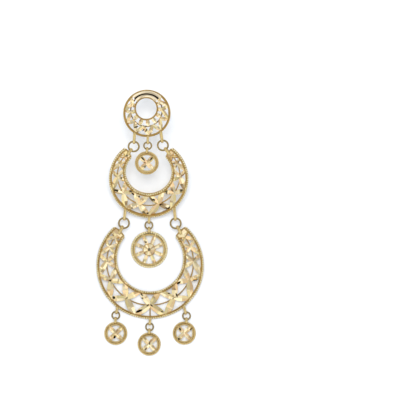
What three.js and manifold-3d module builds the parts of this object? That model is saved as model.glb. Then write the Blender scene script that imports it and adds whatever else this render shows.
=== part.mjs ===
// A pierced gold chandelier earring, laid face up. Millimetres, +Z up: the face looks up, the end
// worn at the ear lies towards +Y and the drops lie towards -Y.
// The disc stands on its ear post. The upper crescent slopes down from it, and the lower crescent,
// the medallion and the bottom drops lie on the surface.
import * as THREE from "three";
import { ConvexGeometry } from "three/addons/geometries/ConvexGeometry.js";
import { mergeVertices } from "three/addons/utils/BufferGeometryUtils.js";
import Module from "manifold-3d";

const wasm = await Module();
wasm.setup();

// A turn is measured round a rim from its lowest point, positive towards +X, in degrees.

const TOP_TURN = 180;

// Metal

const POLISHED_GOLD = { color: 0xd6b25e, roughness: 0.24, metalness: 1 };
const CUT_GOLD = { color: 0xdfbe72, roughness: 0.16, metalness: 1 };

const WELD_DISTANCE = 0.001; // corners nearer than this are one corner

// Rims: a wire and the row of fine beads along its edge, in one section

const RIM_WIDTH = 0.8;
const RIM_HEIGHT = 1.0;
const RIM_SHOULDER = 0.14; // where its sides end and its rounded top starts
const HOLE_RIM_WIDTH = 0.55;
const MEDALLION_RIM_WIDTH = 1.15;
const DROP_RIM_WIDTH = 0.95;

// Lattice: leaf-shaped petals cut to a ridge, and the thin wire that joins their crossings

const PETAL_BASE = -0.4;
const PETAL_EDGE = 0.25;
const PETAL_END = 0.32;
const PETAL_RIDGE = 0.46;
const PETAL_TIP_WIDTH = 0.5;
const PETAL_WIDEST_AT = 0.55;
const PETAL_SLENDERNESS = 0.35; // widest width as a share of the length
const MIDDLE_WIRE_WIDTH = 0.38;
const MIDDLE_WIRE_BASE = -0.34;
const MIDDLE_WIRE_TOP = 0.06;
const MIDDLE_WIRE_STEPS = 3; // straight steps from one crossing to the next

// Jump rings and the soldered loops that they pass through

const LARGE_RING = { outside: 3.2, wire: 0.48, loopThickness: 0.36, loopWidth: 0.76 };
const SMALL_RING = { outside: 2.4, wire: 0.42, loopThickness: 0.34, loopWidth: 0.66 };
const RING_SIDES = 16;
const RING_WIRE_SIDES = 5;
const LOOP_SIDES = 10;
const LOOP_STRIP_SIDES = 5;
const LINK_CLEARANCE = 0.07; // between a ring's wire and the loop round it

// Top disc, and the ear post behind its plain part

const DISC_RADIUS = 6.25;
const DISC_HOLE_RADIUS = 2.7;
const DISC_HOLE_X = -0.17; // from the disc's centre
const DISC_HOLE_Y = 1.27;
const DISC_WIRE_RADIUS = 4.15; // the wire between its two rows of openings
const DISC_WIRE_X = -0.12;
const DISC_WIRE_Y = 0.72;
const PLAIN_PART = {
  outerTurn: 41, // to each side of the top, round the disc
  holeTurn: 53, // and round the hole
  base: -0.5,
  edge: 0.12,
  crown: 0.62,
  steps: 16,
  domeSteps: 6,
};
const PLAIN_PART_INSET = 0.02; // from the outer edges of the two rims
const SPOKE_TURNS = [-104, -76, -49, -22, 6.5, 34, 61, 87, 112]; // round the hole
const SPOKE_WIDTH = 1.0;
const ZIGZAG_FIRST_TURN = -117;
const ZIGZAG_TURN = 35; // from one foot of the zigzag to the next, round the disc
const ZIGZAG_FEET = 8;
const ZIGZAG_PETAL_WIDTH = 0.95;
const POST_LENGTH = 9.0;
const POST_RADIUS = 0.4;
const POST_PAD_RADIUS = 0.9;
const POST_PAD_THICKNESS = 0.3;
const POST_SIDES = 16;
const SOLDER_GAP = 0.05; // between the pad and the back of the disc

// Crescents: an outline and an opening, each an ellipse, and the crossings of their lattice as
// shares of the way round from the lowest point to a horn's end

const UPPER_CRESCENT = {
  outline: { x: 0, y: 0, halfWidth: 10.49, halfHeight: 10.94 },
  opening: { x: 0, y: 1.9, halfWidth: 6.03, halfHeight: 6.04 },
  outlineTurn: 142.3,
  openingTurn: 131.7,
  crossings: [0.135, 0.39, 0.635, 0.822, 0.945],
};
const LOWER_CRESCENT = {
  outline: { x: 0, y: 0, halfWidth: 14.26, halfHeight: 14.05 },
  opening: { x: 0, y: 1.94, halfWidth: 8.75, halfHeight: 8.75 },
  outlineTurn: 137.3,
  openingTurn: 129.5,
  crossings: [0, 0.25, 0.485, 0.68, 0.825, 0.94],
  strutWidth: 0.34,
};
const CRESCENT_RIM_STEPS = 32;
const HORN_CAP = {
  reach: 0.6, // how far the plate that closes a horn stands out past its rims
  corner: 0.45, // its reach at the corners, as a share
  steps: 4,
  base: -0.46,
  edge: 0.3,
  crown: 0.46,
};

// Medallion and drops

const MEDALLION_RADIUS = 4.88;
const MEDALLION_HUB_RADIUS = 1.65;
const MEDALLION_HUB_PROFILE = [
  { share: 0, height: -0.4 },
  { share: 1, height: -0.4 },
  { share: 1, height: 0.15 },
  { share: 0.8, height: 0.5 },
  { share: 0.3, height: 0.72 },
  { share: 0, height: 0.5 },
];
const MEDALLION_PETALS = 8;
const MEDALLION_PETAL_WIDTH = 0.9;
const MEDALLION_PETAL_OVERLAP = 0.35; // how far a petal runs into the hub
const TOP_DROP_RADIUS = 3.15;
const BOTTOM_DROP_RADIUS = 3.07;
const DROP_PETAL_WIDTH = 1.12;
const DROP_PETAL_TURNS = [45, 135, -135, -45];
const CIRCLE_STEPS = 28;

// How the earring hangs together. Each jump ring hangs from a place on the rim of the piece above it,
// and each piece below from its own rings. A drop is how far the next place lies below the last, and
// a drift how far to its right. Head and foot are the heights of a piece's rim above the surface,
// where its rings hold it and at its lowest place. The disc is the first piece, round (0, 0).

const DISC_HEIGHT = POST_LENGTH + RIM_HEIGHT / 2 + SOLDER_GAP;
const LYING = RIM_HEIGHT / 2; // the height of a rim that lies flat on the surface
const LAYOUT = {
  top_disc: { rings: [], head: DISC_HEIGHT, foot: DISC_HEIGHT, drop: 0, drift: 0 },
  top_drop: {
    rings: ["top_drop_ring"], head: DISC_HEIGHT - 1.08, foot: DISC_HEIGHT - 2.92, drop: 1.55, drift: -0.24,
  },
  upper_crescent: {
    rings: ["upper_ring_left", "upper_ring_right"], head: DISC_HEIGHT - 1.49, foot: LYING + 1.08, drop: 2.0,
    drift: 0.07,
  },
  medallion: { rings: ["medallion_ring"], head: LYING + 0.52, foot: LYING + 0.01, drop: 1.57, drift: 0.08 },
  lower_crescent: {
    rings: ["lower_ring_left", "lower_ring_right"], head: LYING + 1.1, foot: LYING + 0.11, drop: 2.52,
    drift: 0.06,
  },
  bottom_drop_left: {
    rings: ["bottom_ring_left"], head: LYING + 0.12, foot: LYING + 0.06, drop: 1.7, drift: -0.11,
    loopTurn: 182,
  },
  bottom_drop_centre: {
    rings: ["bottom_ring_centre"], head: LYING + 0.12, foot: LYING + 0.06, drop: 1.49, drift: -0.1,
  },
  bottom_drop_right: {
    rings: ["bottom_ring_right"], head: LYING + 0.12, foot: LYING + 0.06, drop: 1.54, drift: -0.05,
    loopTurn: 170,
  },
};
const RINGS = {
  upper_ring_left: { size: LARGE_RING, above: "top_disc", turn: -31, drop: 3.36, drift: -0.26 },
  top_drop_ring: { size: SMALL_RING, above: "top_disc", turn: 2.3, drop: 2.27, drift: -0.05 },
  upper_ring_right: { size: LARGE_RING, above: "top_disc", turn: 36, drop: 3.37, drift: 0.53 },
  lower_ring_left: { size: LARGE_RING, above: "upper_crescent", turn: -36.6, drop: 3.49, drift: -0.31 },
  medallion_ring: { size: SMALL_RING, above: "upper_crescent", turn: 0.5, drop: 2.04, drift: -0.08 },
  lower_ring_right: { size: LARGE_RING, above: "upper_crescent", turn: 40, drop: 3.92, drift: 0.37 },
  bottom_ring_left: { size: SMALL_RING, above: "lower_crescent", turn: -37.5, drop: 1.97, drift: -0.41 },
  bottom_ring_centre: { size: SMALL_RING, above: "lower_crescent", turn: 0, drop: 2.12, drift: -0.14 },
  bottom_ring_right: { size: SMALL_RING, above: "lower_crescent", turn: 39, drop: 2.34, drift: 0.67 },
};
const HORN_SHARE = 0.55; // where a horn's loop stands along its end bar, from the outline

// Solids

function solidOf(geometry) {
  const bare = geometry.clone();
  bare.deleteAttribute("normal");
  bare.deleteAttribute("uv");
  const merged = mergeVertices(bare, WELD_DISTANCE);
  return new wasm.Manifold(
    new wasm.Mesh({
      numProp: 3,
      vertProperties: new Float32Array(merged.attributes.position.array),
      triVerts: new Uint32Array(merged.index.array),
    }),
  );
}

function fused(geometries) {
  const body = geometries.map(solidOf).reduce((whole, piece) => whole.add(piece));
  const mesh = body.getMesh();
  const geometry = new THREE.BufferGeometry();
  geometry.setAttribute("position", new THREE.BufferAttribute(mesh.vertProperties, 3));
  geometry.setIndex(new THREE.BufferAttribute(mesh.triVerts, 1));
  const faceted = geometry.toNonIndexed();
  faceted.computeVertexNormals();
  return faceted;
}

function goldMesh(name, geometry, finish) {
  const mesh = new THREE.Mesh(geometry, new THREE.MeshStandardMaterial(finish));
  mesh.name = name;
  return mesh;
}

// Plane geometry

const radians = THREE.MathUtils.degToRad;

function rimPoint(ellipse, turn, inset = 0) {
  return new THREE.Vector2(
    ellipse.x + (ellipse.halfWidth - inset) * Math.sin(radians(turn)),
    ellipse.y - (ellipse.halfHeight - inset) * Math.cos(radians(turn)),
  );
}

function circle(radius, x = 0, y = 0) {
  return { x, y, halfWidth: radius, halfHeight: radius };
}

// Wires, bars and petals, each in its piece's own plane

// A rim's section from one edge to the other: flat below and rising to a crown above.
function rimSection(from, to) {
  const place = (across, height) => {
    const flat = from.clone().lerp(to, across);
    return new THREE.Vector3(flat.x, flat.y, height);
  };
  return [
    place(0, -RIM_HEIGHT / 2),
    place(1, -RIM_HEIGHT / 2),
    place(1, RIM_SHOULDER),
    place(0.5, RIM_HEIGHT / 2),
    place(0, RIM_SHOULDER),
  ];
}

function rimArc(ellipse, turn, outerInset, innerInset) {
  const sections = [];
  for (let i = 0; i <= CRESCENT_RIM_STEPS; i += 1) {
    const here = THREE.MathUtils.lerp(-turn, turn, i / CRESCENT_RIM_STEPS);
    const outer = rimPoint(ellipse, here, outerInset);
    sections.push(rimSection(outer, rimPoint(ellipse, here, innerInset)));
  }
  return lofted(sections);
}

function rimCircle(outerRadius, width, x = 0, y = 0) {
  const outer = new THREE.Vector2(outerRadius, 0);
  const inner = new THREE.Vector2(outerRadius - width, 0);
  const profile = rimSection(inner, outer).map((point) => new THREE.Vector2(point.x, point.z));
  return turned([...profile, profile[0]], CIRCLE_STEPS, x, y);
}

// A closed profile of radius and height, turned about a line square to the piece's plane.
function turned(profile, steps, x = 0, y = 0) {
  const geometry = new THREE.LatheGeometry(profile, steps);
  geometry.rotateX(Math.PI / 2);
  geometry.translate(x, y, 0);
  return geometry;
}

function bar(from, to, width, base, top) {
  const along = to.clone().sub(from);
  const geometry = new THREE.BoxGeometry(along.length(), width, top - base);
  geometry.rotateZ(along.angle());
  geometry.translate((from.x + to.x) / 2, (from.y + to.y) / 2, (base + top) / 2);
  return geometry;
}

function petal(from, to, width, ridge = PETAL_RIDGE) {
  const along = to.clone().sub(from);
  const across = new THREE.Vector2(-along.y, along.x).normalize();
  const stations = [
    { share: 0, width: PETAL_TIP_WIDTH, ridge: PETAL_END },
    { share: PETAL_WIDEST_AT, width, ridge },
    { share: 1, width: PETAL_TIP_WIDTH, ridge: PETAL_END },
  ];
  const points = [];
  for (const station of stations) {
    const centre = from.clone().addScaledVector(along, station.share);
    points.push(new THREE.Vector3(centre.x, centre.y, station.ridge));
    for (const side of [-1, 1]) {
      const edge = centre.clone().addScaledVector(across, (side * station.width) / 2);
      points.push(new THREE.Vector3(edge.x, edge.y, PETAL_BASE));
      points.push(new THREE.Vector3(edge.x, edge.y, PETAL_EDGE));
    }
  }
  return new ConvexGeometry(points);
}

function latticePetal(crossing, foot) {
  return petal(crossing, foot, PETAL_SLENDERNESS * crossing.distanceTo(foot));
}

function ribbon(points, width) {
  const left = [];
  const right = [];
  points.forEach((point, i) => {
    const before = points[Math.max(i - 1, 0)];
    const after = points[Math.min(i + 1, points.length - 1)];
    const along = after.clone().sub(before).normalize();
    const across = new THREE.Vector2(-along.y, along.x).multiplyScalar(width / 2);
    left.push(point.clone().add(across));
    right.push(point.clone().sub(across));
  });
  const geometry = new THREE.ExtrudeGeometry(new THREE.Shape([...right, ...left.reverse()]), {
    depth: MIDDLE_WIRE_TOP - MIDDLE_WIRE_BASE,
    bevelEnabled: false,
  });
  geometry.translate(0, 0, MIDDLE_WIRE_BASE);
  return geometry;
}

// A closed body through matching convex sections, one after another.
function lofted(sections) {
  const count = sections[0].length;
  const last = (sections.length - 1) * count;
  const index = [];
  for (let start = 0; start < last; start += count) {
    for (let i = 0; i < count; i += 1) {
      const here = start + i;
      const next = start + ((i + 1) % count);
      index.push(here, next, here + count, next, next + count, here + count);
    }
  }
  for (let i = 1; i < count - 1; i += 1) {
    index.push(0, i + 1, i);
    index.push(last, last + i, last + i + 1);
  }
  const geometry = new THREE.BufferGeometry().setFromPoints(sections.flat());
  geometry.setIndex(index);
  return geometry;
}

// Crescents

function crescentEdges(spec, share) {
  const foot = RIM_WIDTH / 2;
  return {
    outer: rimPoint(spec.outline, share * spec.outlineTurn, foot),
    inner: rimPoint(spec.opening, share * spec.openingTurn, -foot),
  };
}

function crescentMiddle(spec, share) {
  const { outer, inner } = crescentEdges(spec, share);
  return outer.add(inner).multiplyScalar(0.5);
}

function crescentGeometries(spec) {
  const mirrored = spec.crossings.filter((share) => share > 0).map((share) => -share);
  const crossings = [...mirrored.reverse(), ...spec.crossings];
  const pieces = [
    rimArc(spec.outline, spec.outlineTurn, 0, RIM_WIDTH),
    rimArc(spec.opening, spec.openingTurn, -RIM_WIDTH, 0),
  ];
  const ends = [-1, ...crossings, 1];
  const middle = [];
  crossings.forEach((share, i) => {
    const crossing = crescentMiddle(spec, share);
    for (const neighbour of [ends[i], ends[i + 2]]) {
      const feet = crescentEdges(spec, (share + neighbour) / 2);
      pieces.push(latticePetal(crossing, feet.outer));
      pieces.push(latticePetal(crossing, feet.inner));
    }
  });
  for (let i = 1; i < ends.length; i += 1) {
    for (let step = 0; step < MIDDLE_WIRE_STEPS; step += 1) {
      const share = THREE.MathUtils.lerp(ends[i - 1], ends[i], step / MIDDLE_WIRE_STEPS);
      middle.push(crescentMiddle(spec, share));
    }
  }
  middle.push(crescentMiddle(spec, 1));
  pieces.push(ribbon(middle, MIDDLE_WIRE_WIDTH));
  for (const side of [-1, 1]) {
    pieces.push(hornCap(spec, side));
  }
  if (spec.strutWidth) {
    const strutEnd = crescentEdges(spec, 0).outer;
    pieces.push(bar(crescentMiddle(spec, 0), strutEnd, spec.strutWidth, PETAL_BASE, PETAL_EDGE));
  }
  return pieces;
}

// The plate that fills a horn's last cell and rounds its end.
function hornCap(spec, side) {
  const { reach, corner, steps, base, edge, crown } = HORN_CAP;
  const { outer, inner } = crescentEdges(spec, side);
  const last = side * spec.crossings[spec.crossings.length - 1];
  const feet = crescentEdges(spec, (last + side) / 2);
  const crossing = crescentMiddle(spec, last);
  const middle = crescentMiddle(spec, side);
  const outward = middle.clone().sub(crossing).normalize();
  const plan = [crossing, feet.outer, feet.inner];
  for (let i = 0; i <= steps; i += 1) {
    const swell = corner + (1 - corner) * Math.sin((Math.PI * i) / steps);
    plan.push(outer.clone().lerp(inner, i / steps).addScaledVector(outward, reach * swell));
  }
  const points = [new THREE.Vector3(middle.x, middle.y, crown)];
  for (const { x, y } of plan) {
    points.push(new THREE.Vector3(x, y, base));
    points.push(new THREE.Vector3(x, y, edge));
  }
  return new ConvexGeometry(points);
}

function hornPoint(spec, side) {
  const { outer, inner } = crescentEdges(spec, side);
  return outer.lerp(inner, HORN_SHARE);
}

// Top disc

function discGeometries() {
  const hole = circle(DISC_HOLE_RADIUS, DISC_HOLE_X, DISC_HOLE_Y);
  const wire = circle(DISC_WIRE_RADIUS, DISC_WIRE_X, DISC_WIRE_Y);
  const outline = circle(DISC_RADIUS);
  const pieces = [
    rimCircle(DISC_RADIUS, RIM_WIDTH),
    rimCircle(DISC_HOLE_RADIUS + HOLE_RIM_WIDTH, HOLE_RIM_WIDTH, DISC_HOLE_X, DISC_HOLE_Y),
    middleRing(wire),
    plainPart(outline, hole),
  ];
  for (const turn of SPOKE_TURNS) {
    const from = rimPoint(hole, turn, -HOLE_RIM_WIDTH / 2);
    const outward = from.clone().sub(new THREE.Vector2(hole.x, hole.y)).normalize();
    pieces.push(petal(from, meeting(from, outward, wire), SPOKE_WIDTH));
  }
  for (let i = 0; i < ZIGZAG_FEET; i += 1) {
    const turn = ZIGZAG_FIRST_TURN + i * ZIGZAG_TURN;
    const foot = rimPoint(wire, turn);
    for (const side of [-1, 1]) {
      const end = rimPoint(outline, turn + (side * ZIGZAG_TURN) / 2, RIM_WIDTH / 2);
      pieces.push(petal(foot, end, ZIGZAG_PETAL_WIDTH));
    }
  }
  return pieces;
}

// The point where a line out of a circle's inside meets that circle.
function meeting(from, direction, ring) {
  const offset = from.clone().sub(new THREE.Vector2(ring.x, ring.y));
  const half = offset.dot(direction);
  const reach = Math.sqrt(half * half - offset.lengthSq() + ring.halfWidth ** 2) - half;
  return from.clone().addScaledVector(direction, reach);
}

function middleRing(wire) {
  const outer = wire.halfWidth + MIDDLE_WIRE_WIDTH / 2;
  const inner = wire.halfWidth - MIDDLE_WIRE_WIDTH / 2;
  const profile = [
    new THREE.Vector2(inner, MIDDLE_WIRE_BASE),
    new THREE.Vector2(outer, MIDDLE_WIRE_BASE),
    new THREE.Vector2(outer, MIDDLE_WIRE_TOP),
    new THREE.Vector2(inner, MIDDLE_WIRE_TOP),
    new THREE.Vector2(inner, MIDDLE_WIRE_BASE),
  ];
  return turned(profile, CIRCLE_STEPS, wire.x, wire.y);
}

function plainPart(outline, hole) {
  const { outerTurn, holeTurn, base, edge, crown, steps, domeSteps } = PLAIN_PART;
  const sections = [];
  for (let i = 0; i <= steps; i += 1) {
    const share = (2 * i) / steps - 1;
    const outer = rimPoint(outline, TOP_TURN + share * outerTurn, PLAIN_PART_INSET);
    const inner = rimPoint(hole, TOP_TURN + share * holeTurn, -PLAIN_PART_INSET);
    const section = [new THREE.Vector3(outer.x, outer.y, base)];
    section.push(new THREE.Vector3(inner.x, inner.y, base));
    for (let j = 0; j <= domeSteps; j += 1) {
      const across = inner.clone().lerp(outer, j / domeSteps);
      const rise = Math.sqrt(Math.sin((Math.PI * j) / domeSteps));
      section.push(new THREE.Vector3(across.x, across.y, edge + (crown - edge) * rise));
    }
    sections.push(section);
  }
  return lofted(sections);
}

function postGeometry() {
  const top = -RIM_HEIGHT / 2 - SOLDER_GAP;
  const padBottom = top - POST_PAD_THICKNESS;
  const profile = [
    new THREE.Vector2(0, top - POST_LENGTH),
    new THREE.Vector2(POST_RADIUS, top - POST_LENGTH),
    new THREE.Vector2(POST_RADIUS, padBottom),
    new THREE.Vector2(POST_PAD_RADIUS, padBottom),
    new THREE.Vector2(POST_PAD_RADIUS, top),
    new THREE.Vector2(0, top),
  ];
  const holeTop = DISC_HOLE_Y + DISC_HOLE_RADIUS;
  return turned(profile, POST_SIDES, DISC_HOLE_X, (holeTop + DISC_RADIUS) / 2);
}

// Medallion and drops

function medallionGeometries() {
  const hub = circle(MEDALLION_HUB_RADIUS);
  const outline = circle(MEDALLION_RADIUS);
  const pieces = [rimCircle(MEDALLION_RADIUS, MEDALLION_RIM_WIDTH), hubGeometry()];
  for (let i = 0; i < MEDALLION_PETALS; i += 1) {
    const turn = (360 * (i + 0.5)) / MEDALLION_PETALS;
    const from = rimPoint(hub, turn, MEDALLION_PETAL_OVERLAP);
    const to = rimPoint(outline, turn, MEDALLION_RIM_WIDTH / 2);
    pieces.push(petal(from, to, MEDALLION_PETAL_WIDTH));
  }
  return pieces;
}

function hubGeometry() {
  const profile = MEDALLION_HUB_PROFILE.map(
    ({ share, height }) => new THREE.Vector2(share * MEDALLION_HUB_RADIUS, height),
  );
  return turned(profile, 2 * MEDALLION_PETALS);
}

function dropGeometries(radius) {
  const outline = circle(radius);
  const pieces = [rimCircle(radius, DROP_RIM_WIDTH)];
  for (const turn of DROP_PETAL_TURNS) {
    const end = rimPoint(outline, turn, DROP_RIM_WIDTH / 2);
    pieces.push(petal(new THREE.Vector2(0, 0), end, DROP_PETAL_WIDTH));
  }
  return pieces;
}

// Rings and loops

function ringRadius(size) {
  return (size.outside - size.wire) / 2;
}

// A loop of flat strip, soldered to a rim at one end and closed round a ring's wire at the other. It
// stands square to the ring, so it is long towards the ring's centre and as high as the wire needs.
function solderedLoop(from, ringCentre, ringNormal, size) {
  const reach = ringCentre.clone().sub(from);
  const towards = reach.clone().normalize();
  const upwards = ringNormal.clone().addScaledVector(towards, -ringNormal.dot(towards)).normalize();
  const farInside = reach.length() - ringRadius(size) + size.wire / 2 + LINK_CLEARANCE;
  const far = farInside + size.loopThickness / 2;
  const near = -RIM_WIDTH / 2;
  const bend = size.wire / 2 + LINK_CLEARANCE + size.loopThickness / 2;
  const stretch = (far - near) / 2 - bend;
  const geometry = new THREE.TorusGeometry(bend, size.loopThickness / 2, LOOP_STRIP_SIDES, LOOP_SIDES);
  geometry.scale(1, 1, size.loopWidth / size.loopThickness);
  const position = geometry.attributes.position;
  const bendStart = bend * Math.sin(Math.PI / LOOP_SIDES);
  for (let i = 0; i < position.count; i += 1) {
    const x = position.getX(i);
    position.setX(i, x + stretch * THREE.MathUtils.clamp(x / bendStart, -1, 1));
  }
  const place = new THREE.Matrix4().makeBasis(
    towards,
    upwards,
    new THREE.Vector3().crossVectors(towards, upwards),
  );
  place.setPosition(from.clone().addScaledVector(towards, (far + near) / 2));
  geometry.applyMatrix4(place);
  return geometry;
}

// Assembly

const earring = new THREE.Group();
const builders = {
  top_disc: discGeometries,
  top_drop: () => dropGeometries(TOP_DROP_RADIUS),
  upper_crescent: () => crescentGeometries(UPPER_CRESCENT),
  medallion: medallionGeometries,
  lower_crescent: () => crescentGeometries(LOWER_CRESCENT),
  bottom_drop_left: () => dropGeometries(BOTTOM_DROP_RADIUS),
  bottom_drop_centre: () => dropGeometries(BOTTOM_DROP_RADIUS),
  bottom_drop_right: () => dropGeometries(BOTTOM_DROP_RADIUS),
};
const outlines = {
  top_disc: circle(DISC_RADIUS),
  top_drop: circle(TOP_DROP_RADIUS),
  upper_crescent: UPPER_CRESCENT.outline,
  medallion: circle(MEDALLION_RADIUS),
  lower_crescent: LOWER_CRESCENT.outline,
  bottom_drop_left: circle(BOTTOM_DROP_RADIUS),
  bottom_drop_centre: circle(BOTTOM_DROP_RADIUS),
  bottom_drop_right: circle(BOTTOM_DROP_RADIUS),
};
const crescents = { upper_crescent: UPPER_CRESCENT, lower_crescent: LOWER_CRESCENT };

const places = {};
const geometries = {};
const ringCentres = {};

// Where a piece is held from above, in its own plane: its two horns, or one place on its rim.
function heldAt(name) {
  if (crescents[name]) {
    return [-1, 1].map((side) => hornPoint(crescents[name], side));
  }
  return [rimPoint(outlines[name], LAYOUT[name].loopTurn ?? TOP_TURN)];
}

function middleOf(points) {
  const sum = points.reduce((total, point) => total.clone().add(point));
  return sum.divideScalar(points.length);
}

function inSpace(name, flat) {
  return places[name].localToWorld(new THREE.Vector3(flat.x, flat.y, 0));
}

function hangFrom(name, flat, { drop, drift }) {
  const held = inSpace(name, flat);
  return new THREE.Vector2(held.x + drift, held.y - drop);
}

for (const [name, { rings, head, foot, drop, drift }] of Object.entries(LAYOUT)) {
  const held = middleOf(heldAt(name));
  const lowest = rimPoint(outlines[name], 0);
  const tilt = Math.asin((head - foot) / (held.y - lowest.y));
  const centre = new THREE.Vector2(0, 0);
  if (rings.length) {
    for (const ring of rings) {
      const { above, turn } = RINGS[ring];
      ringCentres[ring] = hangFrom(above, rimPoint(outlines[above], turn), RINGS[ring]);
    }
    centre.copy(middleOf(rings.map((ring) => ringCentres[ring])));
    centre.add(new THREE.Vector2(drift - held.x, -drop - held.y * Math.cos(tilt)));
  }
  const place = new THREE.Group();
  place.position.set(centre.x, centre.y, foot - lowest.y * Math.sin(tilt));
  place.rotation.x = tilt;
  place.updateMatrixWorld(true);
  earring.add(place);
  places[name] = place;
  geometries[name] = builders[name]();
}

// The rings, and the loops soldered to the piece above and the piece below each of them

for (const [below, { rings }] of Object.entries(LAYOUT)) {
  rings.forEach((name, i) => {
    const { size, above, turn } = RINGS[name];
    const ends = [
      { piece: above, flat: rimPoint(outlines[above], turn) },
      { piece: below, flat: heldAt(below)[i] },
    ];
    const [upper, lower] = ends.map(({ piece, flat }) => inSpace(piece, flat));
    const fall = (lower.z - upper.z) / (lower.y - upper.y);
    const { x, y } = ringCentres[name];
    const centre = new THREE.Vector3(x, y, upper.z + fall * (y - upper.y));
    const normal = new THREE.Vector3(0, -fall, 1).normalize();
    for (const { piece, flat } of ends) {
      const from = new THREE.Vector3(flat.x, flat.y, 0);
      const localCentre = places[piece].worldToLocal(centre.clone());
      const intoPiece = places[piece].quaternion.clone().invert();
      const localNormal = normal.clone().applyQuaternion(intoPiece);
      geometries[piece].push(solderedLoop(from, localCentre, localNormal, size));
    }
    const ring = goldMesh(
      name,
      new THREE.TorusGeometry(ringRadius(size), size.wire / 2, RING_WIRE_SIDES, RING_SIDES),
      POLISHED_GOLD,
    );
    ring.position.copy(centre);
    ring.rotation.x = Math.atan(fall);
    earring.add(ring);
  });
}

for (const [name, place] of Object.entries(places)) {
  place.add(goldMesh(name, fused(geometries[name]), CUT_GOLD));
}
places.top_disc.add(goldMesh("ear_post", postGeometry(), POLISHED_GOLD));

// The origin: under the middle of the earring, on the surface that it lies on

const extent = new THREE.Box3().setFromObject(earring, true);
const middleOfAll = extent.getCenter(new THREE.Vector3());
earring.position.set(-middleOfAll.x, -middleOfAll.y, -extent.min.z);

export default earring;
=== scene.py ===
import random
from math import atan, cos, pi, radians, sin, tan

import bmesh
import bpy
from bpy.props import FloatProperty, FloatVectorProperty, IntProperty, PointerProperty
from bpy.types import Operator, Panel, PropertyGroup
from mathutils import Matrix, Vector


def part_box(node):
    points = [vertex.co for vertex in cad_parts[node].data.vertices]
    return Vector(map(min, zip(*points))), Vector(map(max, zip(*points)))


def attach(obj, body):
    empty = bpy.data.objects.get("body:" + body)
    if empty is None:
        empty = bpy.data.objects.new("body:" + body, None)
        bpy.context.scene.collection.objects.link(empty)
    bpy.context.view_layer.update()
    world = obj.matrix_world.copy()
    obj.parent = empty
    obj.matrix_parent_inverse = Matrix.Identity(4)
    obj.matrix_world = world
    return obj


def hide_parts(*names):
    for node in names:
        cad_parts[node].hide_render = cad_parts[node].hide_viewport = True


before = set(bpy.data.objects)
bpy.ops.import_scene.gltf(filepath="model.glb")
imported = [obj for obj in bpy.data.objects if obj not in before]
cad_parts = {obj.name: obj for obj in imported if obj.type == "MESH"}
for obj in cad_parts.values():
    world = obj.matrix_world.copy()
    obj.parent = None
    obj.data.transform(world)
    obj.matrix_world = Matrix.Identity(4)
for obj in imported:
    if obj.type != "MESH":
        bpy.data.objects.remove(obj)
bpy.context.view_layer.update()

bl_info = {
    "name": "Chandelier earring",
    "version": (1, 0, 0),
    "blender": (4, 5, 0),
    "location": "3D View > Sidebar > Earring",
    "description": "Pierced and bright-cut gold chandelier earring on its packed frame",
    "category": "Add Mesh",
}

MM = 0.001
TOP = 180.0  # the turn of a rim's highest point; turns start at its lowest and rise towards +X
SORTING_LINE = Vector((0.923, 0.341, 0.177))  # a slanting line, on which no two facets share a place

# Each piece's own plane: its middle in millimetres and its slope about X in degrees

PLANES = {
    "top_disc": (-0.767, 28.900, 9.550, 0.0),
    "top_drop": (-0.806, 15.823, 7.550, 16.98),
    "upper_crescent": (-0.334, 11.649, 5.498, 20.99),
    "medallion": (-0.243, -7.048, 0.765, 3.0),
    "lower_crescent": (0.0, -11.363, 1.219, 2.49),
    "bottom_drop_left": (-9.094, -29.237, 0.590, 0.56),
    "bottom_drop_centre": (-0.240, -32.079, 0.590, 0.56),
    "bottom_drop_right": (9.061, -29.174, 0.590, 0.56),
}

# Outlines and openings: middle x and y, half width and half height, in a piece's own plane

ELLIPSES = {
    "disc": (0.0, 0.0, 6.25, 6.25),
    "disc_hole": (-0.17, 1.27, 2.7, 2.7),
    "disc_wire": (-0.12, 0.72, 4.15, 4.15),
    "upper_outline": (0.0, 0.0, 10.49, 10.94),
    "upper_opening": (0.0, 1.9, 6.03, 6.04),
    "lower_outline": (0.0, 0.0, 14.22, 14.05),
    "lower_opening": (0.0, 1.94, 8.75, 8.75),
    "medallion": (0.0, 0.0, 4.88, 4.88),
    "top_drop": (0.0, 0.0, 3.15, 3.15),
    "bottom_drop": (0.0, 0.0, 3.07, 3.07),
}

# Crescents: how far round each edge runs to a horn's end, and where the lattice crosses, as shares
# of the way from the lowest place to a horn

CRESCENTS = {
    "upper_crescent": {
        "outline": "upper_outline", "opening": "upper_opening",
        "outline_turn": 142.3, "opening_turn": 131.7,
        "crossings": (0.135, 0.39, 0.635, 0.822, 0.945), "strut": False, "seed": 11,
    },
    "lower_crescent": {
        "outline": "lower_outline", "opening": "lower_opening",
        "outline_turn": 137.3, "opening_turn": 129.5,
        "crossings": (0.0, 0.25, 0.485, 0.68, 0.825, 0.94), "strut": True, "seed": 5,
    },
}
DROPS = {
    "top_drop": ("top_drop", 21),
    "bottom_drop_left": ("bottom_drop", 22),
    "bottom_drop_centre": ("bottom_drop", 23),
    "bottom_drop_right": ("bottom_drop", 24),
}

# Jump rings: size, the piece above and the turn of its loop, the piece below and its loop's place

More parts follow.
